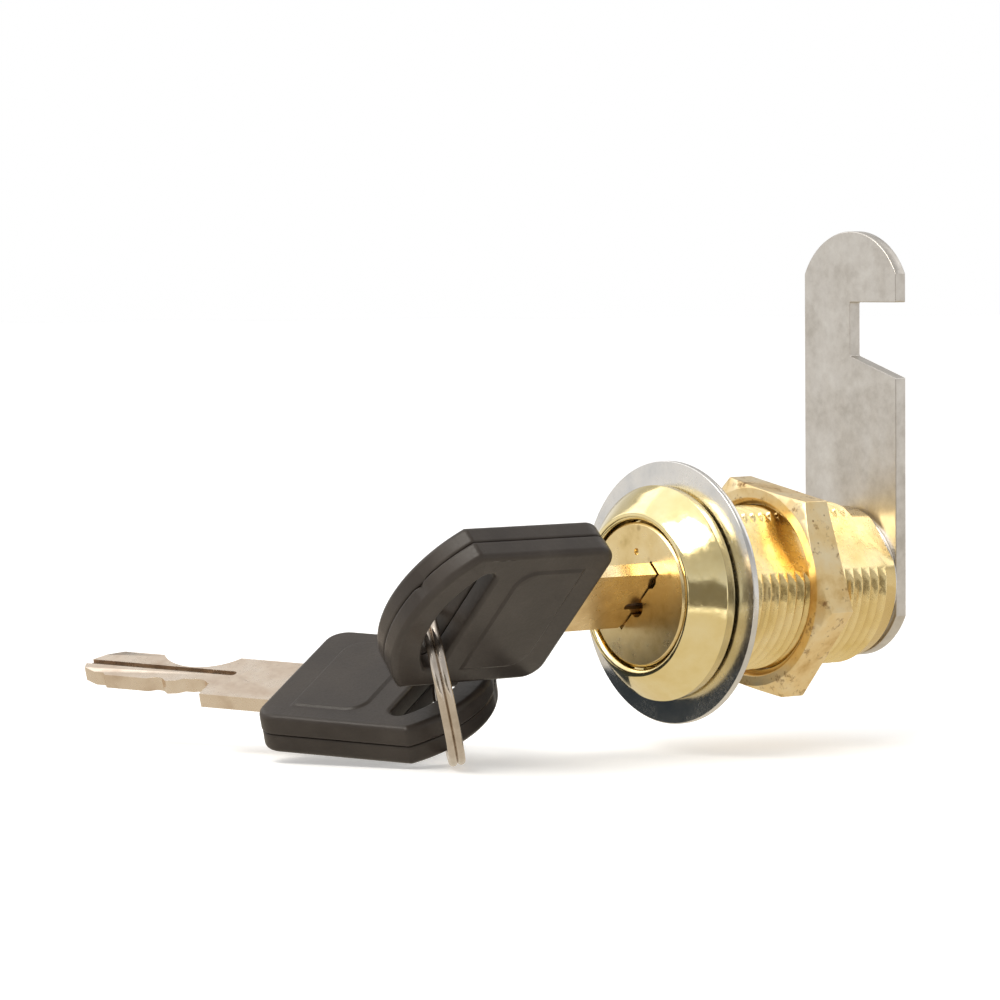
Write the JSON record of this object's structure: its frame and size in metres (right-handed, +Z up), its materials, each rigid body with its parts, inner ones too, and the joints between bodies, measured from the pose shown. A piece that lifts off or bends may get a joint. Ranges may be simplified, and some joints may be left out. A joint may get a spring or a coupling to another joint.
{
  "type": "cam lock",
  "caption": "Threaded cam lock with hook cam, hexagonal mounting nut and trim washer, with one key in the plug and a spare on a split ring.",
  "frame": {"origin": "on the lock axis, in the plane where the trim washer's back face meets the front of the panel", "axes": "+Y along the lock axis into the cabinet, +Z up along the hook cam, +X to the right as seen from the key side"},
  "size_m": [0.0682, 0.0774, 0.0593],
  "materials": {
    "polished_brass": "polished gold-coloured plating",
    "brushed_brass": "fine turned and brushed",
    "raw_brass": "tumbled with dark specks",
    "wafer_brass": "stamped",
    "zinc_plate": "bright zinc plate",
    "satin_steel": "satin stamped plate",
    "nickel": "worn nickel plate",
    "ring_wire": "bright nickel-plated spring wire",
    "spring_wire": "drawn wire",
    "black_plastic": "fine-grained moulded"
  },
  "bodies": {
    "housing": {"housing": "polished_brass"},
    "plug": {"plug": "brushed_brass", "wafer_spring_1": "spring_wire", "wafer_spring_2": "spring_wire", "wafer_spring_3": "spring_wire", "wafer_spring_4": "spring_wire", "wafer_spring_5": "spring_wire", "stop_washer": "zinc_plate", "cam": "satin_steel", "lock_washer": "zinc_plate", "cam_screw": "zinc_plate"},
    "wafer_1": {"wafer_1": "wafer_brass"},
    "wafer_2": {"wafer_2": "wafer_brass"},
    "wafer_3": {"wafer_3": "wafer_brass"},
    "wafer_4": {"wafer_4": "wafer_brass"},
    "wafer_5": {"wafer_5": "wafer_brass"},
    "trim_washer": {"trim_washer": "zinc_plate"},
    "mounting_nut": {"mounting_nut": "raw_brass"},
    "key": {"key_blade": "nickel", "key_cover_front": "black_plastic", "key_cover_back": "black_plastic"},
    "ring": {"split_ring": "ring_wire"},
    "spare_key": {"spare_blade": "nickel", "spare_cover_front": "black_plastic", "spare_cover_back": "black_plastic"}
  },
  "joints": [
    {"name": "plug_turn", "type": "hinge", "parent": "housing", "child": "plug", "pos_m": [0, 0, 0], "axis": [0, 1, 0], "range_deg": [0, 90]},
    {"name": "wafer_1_slide", "type": "slide", "parent": "plug", "child": "wafer_1", "axis": [0.7071, 0, 0.7071], "range_m": [-0.0006, 0], "stiffness_N_per_m": 40, "springref_m": -0.0012},
    {"name": "wafer_2_slide", "type": "slide", "parent": "plug", "child": "wafer_2", "axis": [0.7071, 0, 0.7071], "range_m": [-0.0006, 0], "stiffness_N_per_m": 40, "springref_m": -0.0012},
    {"name": "wafer_3_slide", "type": "slide", "parent": "plug", "child": "wafer_3", "axis": [0.7071, 0, 0.7071], "range_m": [-0.0006, 0], "stiffness_N_per_m": 40, "springref_m": -0.0012},
    {"name": "wafer_4_slide", "type": "slide", "parent": "plug", "child": "wafer_4", "axis": [0.7071, 0, 0.7071], "range_m": [-0.0006, 0], "stiffness_N_per_m": 40, "springref_m": -0.0012},
    {"name": "wafer_5_slide", "type": "slide", "parent": "plug", "child": "wafer_5", "axis": [0.7071, 0, 0.7071], "range_m": [-0.0006, 0], "stiffness_N_per_m": 40, "springref_m": -0.0012},
    {"name": "trim_washer_slide", "type": "slide", "parent": "housing", "child": "trim_washer", "axis": [0, 1, 0], "range_m": [-0.00025, 0.01]},
    {"name": "nut_travel", "type": "slide", "parent": "housing", "child": "mounting_nut", "axis": [0, 1, 0], "range_m": [-0.0105, 0.0105]},
    {"name": "key_pull", "type": "slide", "parent": "plug", "child": "key", "axis": [0, -1, 0], "range_m": [0, 0.032]},
    {"name": "ring_swing", "type": "hinge", "parent": "key", "child": "ring", "pos_m": [-0.0027, -0.0322, -0.0028], "axis": [0, -0.9889, -0.1483], "range_deg": [-8, 4]},
    {"name": "spare_swing", "type": "hinge", "parent": "ring", "child": "spare_key", "pos_m": [-0.00626, -0.02862, -0.0089], "axis": [0.5563, 0.8065, 0.2001], "range_deg": [-12, 4]}
  ]
}
